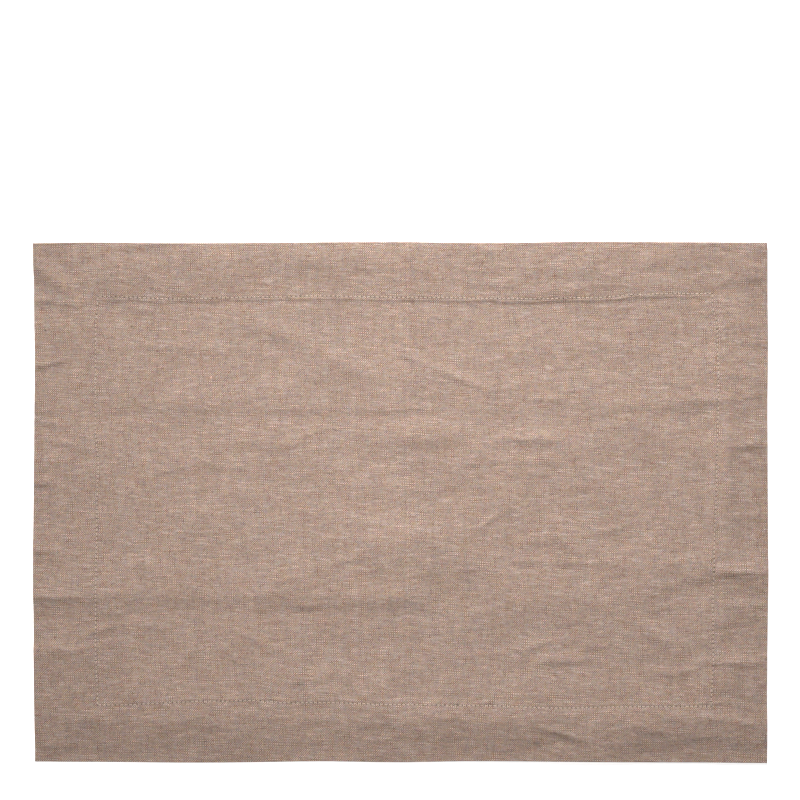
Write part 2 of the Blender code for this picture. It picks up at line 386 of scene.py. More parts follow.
def crease_rise(crease, fade, softness, x, y):
    """Height that a fold or crease adds at each point. It dies out over fade at its ends."""
    from_x, from_y, to_x, to_y, height, left, right, bow = (value * MM for value in crease)
    run_x, run_y = to_x - from_x, to_y - from_y
    run = np.hypot(run_x, run_y)
    along = ((x - from_x) * run_x + (y - from_y) * run_y) / run
    to_left = ((y - from_y) * run_x - (x - from_x) * run_y) / run
    to_left = to_left - 4.0 * bow * along * (run - along) / run**2
    near = np.clip(1.0 - np.abs(to_left) / np.where(to_left > 0, left, right), 0.0, 1.0)
    lasting = ease(along / fade) * ease((run - along) / fade)
    return height * lasting * near**2 * (1.0 + 2.0 * softness * (1.0 - near))


def blister_rise(blister, x, y):
    """Height that a blister adds at each point."""
    middle_x, middle_y, height, half_length, half_width = (value * MM for value in blister)
    away_x, away_y = (x - middle_x) / half_length, (y - middle_y) / half_width
    return height * np.exp(-away_x * away_x - away_y * away_y)


def inside_edge(x, y):
    """How far inside the outer edge points are."""
    return np.minimum(LENGTH / 2 - np.abs(x), WIDTH / 2 - np.abs(y))


def inside_stitching(x, y):
    """How far inside the stitching points are: less than 0 in the hem."""
    across = np.minimum(x - STITCHING_LEFT, STITCHING_RIGHT - x)
    return np.minimum(across, np.minimum(y - STITCHING_NEAR, STITCHING_FAR - y))


def rippled(x, y, length_x, length_y, seed):
    """Smooth noise from about -1 to 1, with bumps of these lengths along X and Y."""
    places = zip((x / length_x).ravel(), (y / length_y).ravel())
    return np.array([noise.noise(Vector((u, v, seed))) for u, v in places]).reshape(x.shape)


def wrinkles(x, y):
    """Height of the small wrinkles all over the cloth."""
    swayed_x = x + RIPPLE_SWAY * rippled(x, y, RIPPLE_SWAY_RUN, RIPPLE_SWAY_RUN, SWAY_X_SEED)
    swayed_y = y + RIPPLE_SWAY * rippled(x, y, RIPPLE_SWAY_RUN, RIPPLE_SWAY_RUN, SWAY_Y_SEED)
    height = np.zeros_like(x)
    for ripple in RIPPLES:
        wave = rippled(swayed_x, swayed_y, ripple.length_x, ripple.length_y, ripple.seed)
        height += ripple.height * (1.0 - 2.0 * np.abs(wave) if ripple.sharp else wave)
    return height


def stand_off(x, y):
    """How far the cloth's lowest layer stands off the surface."""
    rise = wrinkles(x, y)
    rise *= 1.0 + (HEM_WRINKLES - 1.0) * ease(-inside_stitching(x, y) / BORDER_EASE)
    for fold in FOLDS.values():
        rise += crease_rise(fold, FOLD_FADE, FOLD_SOFTNESS, x, y)
    for crease in sum(CREASES.values(), ()):
        run = np.hypot(crease.to_x - crease.from_x, crease.to_y - crease.from_y) * MM
        rise += crease_rise(crease, CREASE_FADE * run, CREASE_SOFTNESS, x, y)
    for blister in BLISTERS.values():
        rise += blister_rise(blister, x, y)
    rise *= AT_EDGE + (1.0 - AT_EDGE) * ease(inside_edge(x, y) / EDGE_EASE)
    rise += BILLOW * ease((inside_edge(x, y) - BORDER) / BORDER_EASE)
    return (rise + np.sqrt(rise**2 + SOFT_BEND**2)) / 2


def layers_height(x, y):
    """Height of the face above the lowest layer's back: three, two or one layers of linen."""
    inside = inside_stitching(x, y)
    over_raw_edge = ease((inside + TURNED_IN - BEYOND_STITCHING) / RAW_EASE + 1.0)
    height = LINEN + LAYER + LAYER * over_raw_edge
    sway = rippled(x, y, DROP_SWAY_RUN, DROP_SWAY_RUN, DROP_SEED)
    past_fold = inside - BEYOND_STITCHING + DROP_SWAY * sway
    quick_drop = NEAR_DROP + (FAR_DROP - NEAR_DROP) * ease(y / WIDTH + 0.5)
    height -= quick_drop * ease(past_fold / QUICK_RUN + 0.5)
    height -= (2 * LAYER - PANEL_LIFT - quick_drop) * ease(past_fold / SLOW_RUN)
    return height - GROOVE * np.exp(-((inside / GROOVE_REACH) ** 2))


def face_height(x, y):
    """Height of the face."""
    return stand_off(x, y) + layers_height(x, y)


# ---------------------------------------------------------------- the cloth

UPPER, LOWER, TURNED = range(3)  # the layer under the face, the one beneath, the raw edge
OWN_PLACE = -1.0  # for how far beyond the outer edge something lies that isn't turned under

# A row is a loop round the mat, inset by a share of the hem's width and an offset. Its height is
# above the back of the hem, or below the face in the upper layer.
Row = namedtuple("Row", "share offset height layer wrong_side")
HALFWAY_IN = 0.3  # of a fold's radius: how far in from its tip it lies at 45 degrees


def rows_of(places, height, layer, wrong_side):
    """Rows at these pairs of a share and an offset."""
    return [Row(share, offset, height, layer, wrong_side) for share, offset in places]


def hem_rows():
    """The hem's section, from the face round the outer fold and back under it to the stitching."""
    bend, radius = HALFWAY_IN * EDGE_ROUND, EDGE_ROUND
    tip, raw = BEYOND_STITCHING, BEYOND_STITCHING - TURNED_IN
    between = [(0.0, 4 * MM), (0.25, 0.0), (0.45, 0.0), (0.62, 0.0)]
    along_raw = [(1.0, raw / 2)]
    seam = [(1.0, -GROOVE_REACH), (1.0, 0.0)]
    return [
        Row(0.0, bend, bend, UPPER, False),
        Row(0.0, 0.0, radius, LOWER, False),
        Row(0.0, bend, bend, LOWER, False),
        Row(0.0, radius, 0.0, LOWER, False),
        *rows_of(between + [(1.0, raw)] + along_raw + seam, 0.0, LOWER, False),
        Row(1.0, tip - radius, 0.0, LOWER, False),
        Row(1.0, tip - bend, bend, LOWER, False),
        Row(1.0, tip, radius, LOWER, False),
        Row(1.0, tip - bend, 2 * radius - bend, TURNED, False),
        Row(1.0, tip - radius, 2 * radius, TURNED, False),
        *rows_of(along_raw, 2 * radius, TURNED, False),
        Row(1.0, raw, 2 * radius, TURNED, False),
        Row(1.0, raw + bend, LAYER, TURNED, True),
        *rows_of(along_raw, LAYER, TURNED, True),
        Row(1.0, tip - radius, LAYER, TURNED, True),
        Row(1.0, tip - radius, LINEN, LOWER, True),
        *rows_of(along_raw + [(1.0, raw)] + between[::-1], LINEN, LOWER, True),
        Row(0.0, LINEN + bend, LINEN, LOWER, True),
        Row(0.0, LINEN + bend, LINEN, UPPER, True),
        *rows_of(between + [(1.0, raw)] + along_raw + seam[1:], LINEN, UPPER, True),
        Row(1.0, tip - radius, LINEN, UPPER, True),
        Row(1.0, tip + QUICK_RUN / 2, LINEN, UPPER, True),
    ]


PANEL_BACK = Row(1.0, BEYOND_STITCHING + 2 * QUICK_RUN, LINEN, UPPER, True)  # its border


def inset_of(row):
    """How far a row lies inside the outer edge, side by side."""
    return Sides(*(row.share * width + row.offset for width in HEM))


def beyond_edge(row):
    """How far beyond the outer edge a row lies in the unfolded cloth, side by side."""
    if row.layer == UPPER:
        return [OWN_PLACE] * len(HEM)
    if row.layer == LOWER:
        return list(inset_of(row))
    return [2 * (width + BEYOND_STITCHING) - inset for width, inset in zip(HEM, inset_of(row))]


def row_height(row, x, y):
    """Height of a row's points above the surface."""
    return face_height(x, y) - row.height if row.layer == UPPER else stand_off(x, y) + row.height


def laid_out(inset, across, along):
    """Places at shares across and along the rectangle that is inset by these widths."""
    x = -LENGTH / 2 + inset.left + across * (LENGTH - inset.left - inset.right)
    y = -WIDTH / 2 + inset.near + along * (WIDTH - inset.near - inset.far)
    return x, y


def divided(stops, cell):
    """The stops, with each gap between them divided evenly into about one cell a step."""
    lines = [stops[0]]
    for low, high in zip(stops, stops[1:]):
        steps = max(1, round((high - low) / cell))
        lines += [low + (high - low) * step / steps for step in range(1, steps + 1)]
    return np.array(lines)


def grid_shares(low_hem, high_hem, size, cell):
    """Shares of the way across the cloth for its coarse grid lines and for its fine ones."""
    low, high = EDGE_ROUND, size - EDGE_ROUND
    stops = [low, low + EDGE_CELL, low_hem - SEAM_CELL, low_hem + SEAM_CELL, low_hem + 3 * SEAM_CELL]
    stops += [size - stop for stop in (high_hem + 3 * SEAM_CELL, high_hem + SEAM_CELL)]
    stops += [size - high_hem + SEAM_CELL, high - EDGE_CELL, high]
    coarse = (divided(stops, cell) - low) / (high - low)
    steps = np.arange(FINER * (len(coarse) - 1) + 1) / FINER
    return coarse, np.interp(steps, np.arange(len(coarse)), coarse)


# The axis across each side, how far out the side lies on it and which way
ACROSS = Sides(
    near=(1, WIDTH / 2, -1),
    right=(0, LENGTH / 2, 1),
    far=(1, WIDTH / 2, 1),
    left=(0, LENGTH / 2, -1),
)


class Cloth:
    """The cloth's vertices and faces, as they are added.

    Vertices hold their place in the plain rectangle, their height and the number of their row.
    Faces hold the side of the hem they are on and whether they are on the cloth's wrong side.
    """

    def __init__(self):
        self.places, self.heights, self.rows = [], [], []
        self.faces, self.sides, self.wrong_sides = [], [], []
        self.beyond = [[OWN_PLACE] * len(HEM)]  # row by row; the first is for the open cloth
        self.count = 0

    def add_points(self, x, y, height, row=0):
        """Adds points, and returns their numbers in the shape of x."""
        numbers = np.arange(self.count, self.count + x.size).reshape(x.shape)
        self.places.append(np.stack([x.ravel(), y.ravel()], 1))
        self.heights.append(height.ravel())
        self.rows.append(np.full(x.size, row))
        self.count += x.size
        return numbers

    def add_faces(self, faces, side, wrong_side):
        """Adds faces that are all on the same side of the hem."""
        self.faces += faces
        self.sides += [side] * len(faces)
        self.wrong_sides += [wrong_side] * len(faces)

    def add_grid(self, x, y, height, wrong_side):
        """Adds a grid of open cloth, and returns its border's numbers, side by side."""
        numbers = self.add_points(x, y, height)
        corners = [numbers[:-1, :-1], numbers[:-1, 1:], numbers[1:, 1:], numbers[1:, :-1]]
        turned = corners[::-1] if wrong_side else corners
        self.add_faces(np.stack([corner.ravel() for corner in turned], 1).tolist(), 0, wrong_side)
        return Sides(numbers[0], numbers[:, -1], numbers[-1, ::-1], numbers[::-1, 0])

    def add_row(self, row, across, along):
        """Adds a loop round the hem, and returns its numbers, side by side."""
        low, high = np.zeros(1), np.ones(1)
        runs_x = [across[:-1], high, across[:0:-1], low]
        runs_y = [low, along[:-1], high, along[:0:-1]]
        runs = [np.broadcast_arrays(*run) for run in zip(runs_x, runs_y)]
        x, y = laid_out(inset_of(row), *(np.concatenate(axis) for axis in zip(*runs)))
        self.beyond.append(beyond_edge(row))
        loop = self.add_points(x, y, row_height(row, x, y), len(self.beyond) - 1)
        ends = np.cumsum([0] + [len(run[0]) for run in runs])
        closed = np.append(loop, loop[0])
        return Sides(*(closed[start : end + 1] for start, end in zip(ends, ends[1:])))

    def bridge(self, upper, lower, wrong_side):
        """Joins two loops. The lower one may have fewer points."""
        for side, (above, below) in enumerate(zip(upper, lower)):
            finer = (len(above) - 1) // (len(below) - 1)
            faces = []
            for number, (above_at, above_next) in enumerate(zip(above.tolist(), above[1:].tolist())):
                at, place = divmod(number, finer)
                corners = [above_at, below[at], below[at + 1], above_next]
                if place < finer // 2:
                    del corners[2]
                elif place > finer // 2:
                    del corners[1]
                faces.append([int(corner) for corner in corners])
            self.add_faces(faces, side, wrong_side)

    def unfolded(self, corners, counts):
        """Where each corner lies in the unfolded cloth, in metres. Counts are the corners a face."""
        flat = np.concatenate(self.places)[corners]
        side = np.repeat(self.sides, counts)
        beyond = np.array(self.beyond)[np.concatenate(self.rows)[corners], side]
        turned = beyond > OWN_PLACE
        for number, (axis, edge, way) in enumerate(ACROSS):
            here = turned & (side == number)
            flat[here, axis] = way * (edge + beyond[here])
        return flat


def sewn_cloth():
    """The whole cloth: its face, the rows of the hem and the back of the single cloth."""
    coarse_x, fine_x = grid_shares(HEM.left, HEM.right, LENGTH, COARSE_X)
    coarse_y, fine_y = grid_shares(HEM.near, HEM.far, WIDTH, COARSE_Y)
    cloth = Cloth()
    x, y = laid_out(Sides(*[EDGE_ROUND] * len(HEM)), *np.meshgrid(fine_x, fine_y))
    upper = cloth.add_grid(x, y, face_height(x, y), wrong_side=False)
    for row in hem_rows():
        lower = cloth.add_row(row, coarse_x, coarse_y)
        cloth.bridge(upper, lower, row.wrong_side)
        upper = lower
    x, y = laid_out(inset_of(PANEL_BACK), *np.meshgrid(coarse_x, coarse_y))
    lower = cloth.add_grid(x, y, row_height(PANEL_BACK, x, y), wrong_side=True)
    cloth.bridge(upper, lower, wrong_side=True)
    return cloth


# The cut, before it is hemmed
BORDERS = Sides(*(width + BEYOND_STITCHING + TURNED_IN for width in HEM))
CUT_LENGTH = LENGTH + BORDERS.left + BORDERS.right
CUT_WIDTH = WIDTH + BORDERS.near + BORDERS.far


def area_inside(row_inset):
    """Area of the rectangle that is inset by these widths."""
    length = LENGTH - row_inset.left - row_inset.right
    return length * (WIDTH - row_inset.near - row_inset.far)


def cut_area():
    """Area of the cut with its corners mitred: the face, the turned-under rim and the turned-in one."""
    outer = LENGTH * WIDTH
    inner = area_inside(Sides(*(width + BEYOND_STITCHING for width in HEM)))
    raw = area_inside(Sides(*(width + BEYOND_STITCHING - TURNED_IN for width in HEM)))
    return outer + (outer - inner) + (raw - inner)


BAKE_MARGIN = 0.005  # share of the baked image that is left free round each side of the cloth
RIGHT_SIDE_SCALE = (1 - 2 * BAKE_MARGIN) / CUT_LENGTH  # in shares of the image a metre
WRONG_SIDE_SCALE = (1 - 3 * BAKE_MARGIN) / CUT_WIDTH - RIGHT_SIDE_SCALE


def bake_places(flat, wrong):
    """Places of the corners in a baked image: the cloth's right side above its wrong side."""
    from_corner = flat + (LENGTH / 2 + BORDERS.left, WIDTH / 2 + BORDERS.near)
    scale = np.where(wrong, WRONG_SIDE_SCALE, RIGHT_SIDE_SCALE)
    places = BAKE_MARGIN + from_corner * scale[:, None]
    places[~wrong, 1] += BAKE_MARGIN + WRONG_SIDE_SCALE * CUT_WIDTH
    return places


def new_piece(name, points, faces, material, middle):
    """A smooth-shaded object. Its points are in the plain rectangle, and middle is its middle."""
    x, y = strayed(points[:, 0], points[:, 1])
    mesh = bpy.data.meshes.new(name)
    mesh.from_pydata(np.stack([x - middle[0], y - middle[1], points[:, 2]], 1).tolist(), [], faces)
    mesh.shade_smooth()
    mesh.materials.append(material)
    piece = bpy.data.objects.new(name, mesh)
    bpy.context.scene.collection.objects.link(piece)
    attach(piece, "root")
    return piece


def middle_of(points):
    """Middle of the box round the cloth, once its edges have strayed."""
    x, y = strayed(points[:, 0], points[:, 1])
    return (x.min() + x.max()) / 2, (y.min() + y.max()) / 2


def add_map(mesh, name, places):
    """Adds a map that holds one place for each corner of the faces."""
    mesh.uv_layers.new(name=name).uv.foreach_set("vector", places.astype(np.float32).ravel())


def cloth_piece(material):
    """The cloth, and the middle of its box."""
    cloth = sewn_cloth()
    points = np.column_stack([np.concatenate(cloth.places), np.concatenate(cloth.heights)])
    middle = middle_of(points)
    piece = new_piece("linen_cloth", points, cloth.faces, material, middle)
    corners = np.empty(len(piece.data.loops), np.int32)
    piece.data.loops.foreach_get("vertex_index", corners)
    counts = [len(face) for face in cloth.faces]
    flat = cloth.unfolded(corners, counts)
    add_map(piece.data, "Cloth", flat)
    add_map(piece.data, "OFBake", bake_places(flat, np.repeat(cloth.wrong_sides, counts)))
    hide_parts("placemat_cloth")
    return piece, middle


# ---------------------------------------------------------------- the stitching


def stitch_runs():
    """Where each stitch starts and ends: an array of starts and one of ends."""
    corners = np.array(
        [
            (STITCHING_LEFT, STITCHING_NEAR),
            (STITCHING_RIGHT, STITCHING_NEAR),
            (STITCHING_RIGHT, STITCHING_FAR),
            (STITCHING_LEFT, STITCHING_FAR),
        ]
    )
    starts, ends = [], []
    for start, end in zip(corners, np.roll(corners, -1, axis=0)):
        holes = np.linspace(start, end, round(np.abs(end - start).sum() / STITCH) + 1)
        starts.append(holes[:-1])
        ends.append(holes[1:])
    return np.concatenate(starts), np.concatenate(ends)


def thread_rings(on_face):
    """Points of each stitch on one side of the cloth, as stitch, station, corner, axis."""
    starts, ends = stitch_runs()
    share = np.linspace(0.0, 1.0, THREAD_STATIONS)
    along = HOLE_SHARE / 2 + share * (1.0 - HOLE_SHARE)
    centre = starts[:, None] + (ends - starts)[:, None] * along[None, :, None]
    x, y = centre[..., 0], centre[..., 1]
    arch = np.sqrt(4.0 * share * (1.0 - share)) - 0.5
    if on_face:
        height = face_height(x, y) + THREAD_HEIGHT * arch
    else:
        height = np.maximum(stand_off(x, y) - THREAD_HEIGHT * (arch - 0.5), THREAD_HEIGHT / 2)
    way = (ends - starts) / np.linalg.norm(ends - starts, axis=1, keepdims=True)
    angle = np.arange(THREAD_SIDES) * 2 * np.pi / THREAD_SIDES
    aside, up = np.cos(angle) * THREAD_WIDTH / 2, np.sin(angle) * THREAD_HEIGHT / 2
    ring_x = x[..., None] + way[:, None, None, 1] * aside
    ring_y = y[..., None] - way[:, None, None, 0] * aside
    return np.stack([ring_x, ring_y, height[..., None] + up], -1)


def thread_faces(count):
    """Faces of this many closed threads."""
    stride = THREAD_STATIONS * THREAD_SIDES
    numbers = np.arange(stride).reshape(THREAD_STATIONS, THREAD_SIDES)
    turned = np.roll(numbers, -1, axis=1)
    corners = [numbers[:-1], numbers[1:], turned[1:], turned[:-1]]
    sides = np.stack([corner.ravel() for corner in corners], 1).tolist()
    one = [*sides, numbers[0].tolist(), numbers[-1, ::-1].tolist()]
    return [[corner + stride * thread for corner in face] for thread in range(count) for face in one]


def stitching_piece(material, middle):
    """All stitches, on the face and on the back."""
    rings = np.concatenate([thread_rings(on_face=True), thread_rings(on_face=False)])
    return new_piece("hem_stitching", rings.reshape(-1, 3), thread_faces(len(rings)), material, middle)


# ---------------------------------------------------------------- materials


class Value:
    """A number in a node tree, so that a sum of nodes reads as a formula."""

    def __init__(self, nodes, socket):
        self.nodes, self.socket = nodes, socket

    def __add__(self, other):
        return self.nodes.math("ADD", self, other)

    def __sub__(self, other):
        return self.nodes.math("SUBTRACT", self, other)

    def __rsub__(self, other):
        return self.nodes.math("SUBTRACT", other, self)

    def __mul__(self, other):
        return self.nodes.math("MULTIPLY", self, other)

    def __truediv__(self, other):
        return self.nodes.math("DIVIDE", self, other)

    __radd__, __rmul__ = __add__, __mul__


class Nodes:
    """A material's node tree. Each method adds a node and returns its output."""

    def __init__(self, name):
        self.material = bpy.data.materials.new(name)
        self.material.use_nodes = True
        self.tree = self.material.node_tree
        self.shader = self.tree.nodes["Principled BSDF"]

    def feed(self, socket, value):
        """Links a value to a socket, or sets the socket to a plain number or colour."""
        if isinstance(value, Value):
            self.tree.links.new(value.socket, socket)
        elif socket.type == "RGBA":
            socket.default_value = (*value, 1.0)
        else:
            socket.default_value = value

    def add(self, kind, inputs, output=0, **settings):
        """Adds a node of this kind. Inputs and output go by name or number."""
        node = self.tree.nodes.new("ShaderNode" + kind)
        for name, value in settings.items():
            setattr(node, name, value)
        for name, value in inputs.items():
            self.feed(node.inputs[name], value)
        return Value(self, node.outputs[output])

    def math(self, operation, *values):
        """One step of arithmetic."""
        return self.add("Math", dict(enumerate(values)), operation=operation)

    def parts(self, vector, *, of="XYZ"):
        """The three parts of a vector or a colour."""
        kind = "SeparateXYZ" if of == "XYZ" else "SeparateColor"
        return [self.add(kind, {0: vector}, output) for output in range(3)]

    def cloth_place(self):
        """Place in the unfolded cloth, along X and Y, in metres."""
        place = self.add("UVMap", {}, uv_map="Cloth")
        return self.parts(place)[:2]

    def point(self, x, y):
        """A vector with these first two parts."""
        return self.add("CombineXYZ", {0: x, 1: y})

    def noises(self, x, y, length_x, length_y, detail=0.0):
        """Three kinds of noise from 0 to 1, with bumps of these lengths."""
        place = self.point(x / length_x, y / length_y)
        inputs = {"Vector": place, "Scale": 1.0, "Detail": detail}
        return self.parts(self.add("TexNoise", inputs, 1, noise_dimensions="2D"), of="RGB")

    def ramp(self, value, low, high):
        """Goes smoothly from 0 to 1 as the value goes from low to high."""
        inputs = {"Value": value, "From Min": low, "From Max": high}
        return self.add("MapRange", inputs, interpolation_type="SMOOTHSTEP")

    def set(self, inputs):
        """Sets or feeds these inputs of the shader."""
        for name, value in inputs.items():
            self.feed(self.shader.inputs[name], value)


LINEN_COLOUR = (0.450, 0.326, 0.264)
SEWN_COLOUR = (0.66, 0.525, 0.43)  # of the thread of the stitching

# Each of these is strongest up to its first distance from its middle, and gone at its second
HOLE_REACH = 0.28 * MM, 0.56 * MM
NEP_REACH = 0.4 * MM, 1.0 * MM
FOLD_WEAR_HIGHLIGHT_REACH = 0.3 * MM, 1.1 * MM

HOLE_DEPTH = 0.12 * MM
HOLE_SHADE = 0.6  # painted shade in the needle holes: share of the brightness it takes away
FOLD_WEAR_HIGHLIGHT_TONE = 0.07  # share of the brightness added along the middle fold: wear, and a painted highlight on its crest
BLOTCH_RUN = 30 * MM  # from one paler part of the cloth to the next
BLOTCH_LOW, BLOTCH_SPREAD = 0.94, 0.12  # brightness of the darkest part, and how much more others have

# The threads stray to and fro in long bends and in short ones. Each has a length and a reach.
LONG_BEND, LONG_BEND_REACH = 40 * MM, 2.0 * MM
SHORT_BEND, SHORT_BEND_REACH = 6 * MM, 0.3 * MM
WEAVE_DEPTH = 0.06 * MM

# Tones and hues are shares of the mean colour that are added to it
# The weft is paler than the warp: partly the yarns' own tones, partly painted light, as the weft's crests
# face the key light from +Y
WARP_TONE, WARP_SPREAD = -0.44, 0.35
WEFT_TONE, WEFT_SPREAD = 0.43, 0.64
WARP_RUN, WEFT_RUN = 16 * MM, 10 * MM  # along a thread, from one tone to the next
OWN_TONE = 0.137  # in threads: so little that no thread's tone depends on its neighbour's
SPOOL_SPREAD = 1.1  # the weft comes from two spools in turn, which differ by this at most
SPOOL_RUN = 9.3  # in threads, over which that difference comes and goes
SLUB_TONE, SLUB_FROM, SLUB_TO = 0.5, 0.66, 0.80  # where this noise is high, the weft is paler
GAP_SHADE, GAP_FROM, GAP_TO = 0.55, 0.1, 0.5  # painted shade in the gaps between threads, below these heights
GAP_UNEVEN = 0.3  # by how much those heights differ from crossing to crossing
SUNK_SHADE, SUNK_SHARE = 0.22, 0.4  # painted shade, as of a deeper gap, at this share of the crossings, by this at most
THREAD_HUE, CROSSING_HUE, CROSSING_PINK = 0.5, 0.38, 0.23
RED_TONE, BLUE_TONE = 0.82, 1.18  # how strongly red and blue follow the tone
RED_HUE, BLUE_HUE = 0.36, 0.54  # how strongly red goes against the hue, and blue with it
DARKEST = 0.1  # share of the mean colour that every place keeps
FIBRES = 2500.0  # bumps a metre in the thread of the stitching
FIBRE_DEPTH = 0.05 * MM


def needle_holes(nodes, x, y):
    """1 in each needle hole along the stitching, and 0 elsewhere. Takes places in the unfolded cloth."""
    x = nodes.math("PINGPONG", x + LENGTH / 2, LENGTH) - LENGTH / 2
    y = nodes.math("PINGPONG", y + WIDTH / 2, WIDTH) - WIDTH / 2
    half_x, half_y = (STITCHING_RIGHT - STITCHING_LEFT) / 2, (STITCHING_FAR - STITCHING_NEAR) / 2
    off_x = nodes.math("ABSOLUTE", x - (STITCHING_RIGHT + STITCHING_LEFT) / 2) - half_x
    off_y = nodes.math("ABSOLUTE", y - (STITCHING_FAR + STITCHING_NEAR) / 2) - half_y
    beside = nodes.math("GREATER_THAN", off_x, off_y)
    across = nodes.math("MAXIMUM", off_x, off_y)
    stitches_x = (x - STITCHING_LEFT) / (2 * half_x / round(2 * half_x / STITCH))
    stitches_y = (y - STITCHING_NEAR) / (2 * half_y / round(2 * half_y / STITCH))
    count = stitches_x + (stitches_y - stitches_x) * beside
    along = nodes.math("PINGPONG", count, 0.5) * STITCH
    away = nodes.math("SQRT", along * along + across * across)
    return 1.0 - nodes.ramp(away, *HOLE_REACH)


# Knots in the yarn that stand out on the face, in millimetres
Nep = namedtuple("Nep", "x y tone")
NEPS = (
    Nep(-128.6, 85.6, 0.8),
    Nep(-179.8, 167.0, 0.4),
    Nep(-182.7, 119.9, -0.5),
    Nep(-242.0, 116.8, -0.5),
)


def nep_tone(nodes, x, y):
    """How much paler or darker each place is for the knots."""
    tone = 0.0
    for nep in NEPS:
        away_x, away_y = x - nep.x * MM, y - nep.y * MM
        away = nodes.math("SQRT", away_x * away_x + away_y * away_y)
        tone = (1.0 - nodes.ramp(away, *NEP_REACH)) * nep.tone + tone
    return tone


def fold_wear_and_highlight(nodes, x):
    """1 along the fold across the middle of the mat, where the cloth is rubbed paler and a highlight is
    painted on its crest, and 0 elsewhere.
    """
    away = nodes.math("ABSOLUTE", x - HALF * MM)
    return 1.0 - nodes.ramp(away, *FOLD_WEAR_HIGHLIGHT_REACH)


def thread_counts(nodes, x, y):
    """How many threads of the warp and of the weft each place lies from the mat's middle."""
    long_x, long_y, _ = nodes.noises(x, y, LONG_BEND, LONG_BEND)
    short_x, short_y, _ = nodes.noises(x, y, SHORT_BEND, SHORT_BEND)
    bends_x = (long_x - 0.5) * LONG_BEND_REACH, (short_x - 0.5) * SHORT_BEND_REACH
    bends_y = (long_y - 0.5) * LONG_BEND_REACH, (short_y - 0.5) * SHORT_BEND_REACH
    warp = (x + WARP_LEAN * y + bends_x[0] + bends_x[1]) / WARP_PITCH
    weft = (y + WEFT_LEAN * x + bends_y[0] + bends_y[1]) / WEFT_PITCH
    return warp, weft


def weave_height(nodes, warp, weft, weft_on_top):
    """Height of the threads, from 0 between them to 1 on top of a crossing."""
    across_warp, across_weft = nodes.math("FRACT", warp), nodes.math("FRACT", weft)
    warp_bulge = across_warp * (1.0 - across_warp) * 4.0
    weft_bulge = across_weft * (1.0 - across_weft) * 4.0
    warp_height = warp_bulge * (weft_bulge * 0.5 + 0.5)
    weft_height = weft_bulge * (warp_bulge * 0.5 + 0.5)
    return warp_height + (weft_height - warp_height) * weft_on_top


def warp_looks(nodes, y, number):
    """Tone and hue of each place of the warp threads."""
    tone, _, hue = nodes.noises(number, y, OWN_TONE, WARP_RUN)
    return (tone - 0.5) * WARP_SPREAD + WARP_TONE, hue


def weft_looks(nodes, x, number):
    """Tone and hue of each place of the weft threads."""
    tone, slub, hue = nodes.noises(x, number, WEFT_RUN, OWN_TONE)
    in_turn = nodes.math("FRACT", number * 0.5) * 4.0 - 1.0
    spool = nodes.noises(x, number, WEFT_RUN, SPOOL_RUN)[0]
    tone = (tone - 0.5) * WEFT_SPREAD + in_turn * ((spool - 0.5) * SPOOL_SPREAD) + WEFT_TONE
    return tone + nodes.ramp(slub, SLUB_FROM, SLUB_TO) * SLUB_TONE, hue


def weave(nodes, x, y):
    """A plain weave. Returns its height from 0 to 1 and its colour, relative to the mean one, with shade
    painted into the gaps between the threads.
    """
    warp, weft = thread_counts(nodes, x, y)
    warp_number, weft_number = nodes.math("FLOOR", warp), nodes.math("FLOOR", weft)
    weft_on_top = nodes.math("FRACT", (warp_number + weft_number) * 0.5) * 2.0
    height = weave_height(nodes, warp, weft, weft_on_top)
    warp_tone, warp_hue = warp_looks(nodes, y, warp_number)
    weft_tone, weft_hue = weft_looks(nodes, x, weft_number)
    crossing = nodes.add("TexWhiteNoise", {"Vector": nodes.point(warp_number, weft_number)}, 1)
    crossing_tone, crossing_hue, crossing_pink = nodes.parts(crossing, of="RGB")

    # painted shade: darker where the threads dip into the gaps between them, and at some crossings
    gap = 1.0 - nodes.ramp(height + crossing_tone * GAP_UNEVEN, GAP_FROM, GAP_TO)
    sunk_shade = nodes.ramp(crossing_tone, SUNK_SHARE, 0.0) * SUNK_SHADE
    tone = warp_tone + (weft_tone - warp_tone) * weft_on_top - sunk_shade - gap * GAP_SHADE
    hue = (warp_hue + (weft_hue - warp_hue) * weft_on_top - 0.5) * THREAD_HUE
    hue = hue + (crossing_hue - 0.5) * CROSSING_HUE
    red = tone * RED_TONE - hue * RED_HUE
    green = tone + (crossing_pink - 0.5) * CROSSING_PINK
    blue = tone * BLUE_TONE + hue * BLUE_HUE
    parts = [nodes.math("MAXIMUM", share + 1.0, DARKEST) for share in (red, green, blue)]
    return height, nodes.add("CombineColor", dict(enumerate(parts)))


# The finest wrinkles, with creases of these lengths along X and Y
Wrinkle = namedtuple("Wrinkle", "length_x length_y height")
SMALL_CREASES = (
    Wrinkle(9 * MM, 4.2 * MM, 0.10 * MM),
    Wrinkle(4 * MM, 2.2 * MM, 0.045 * MM),
)


def small_creases(nodes, x, y):
    """Height of the finest wrinkles, in metres."""
    height = 0.0
    for crease in SMALL_CREASES:
        wave = nodes.noises(x, y, crease.length_x, crease.length_y, 1.0)[0]
        height = nodes.math("ABSOLUTE", wave - 0.5) * (-crease.height) + height
    return height


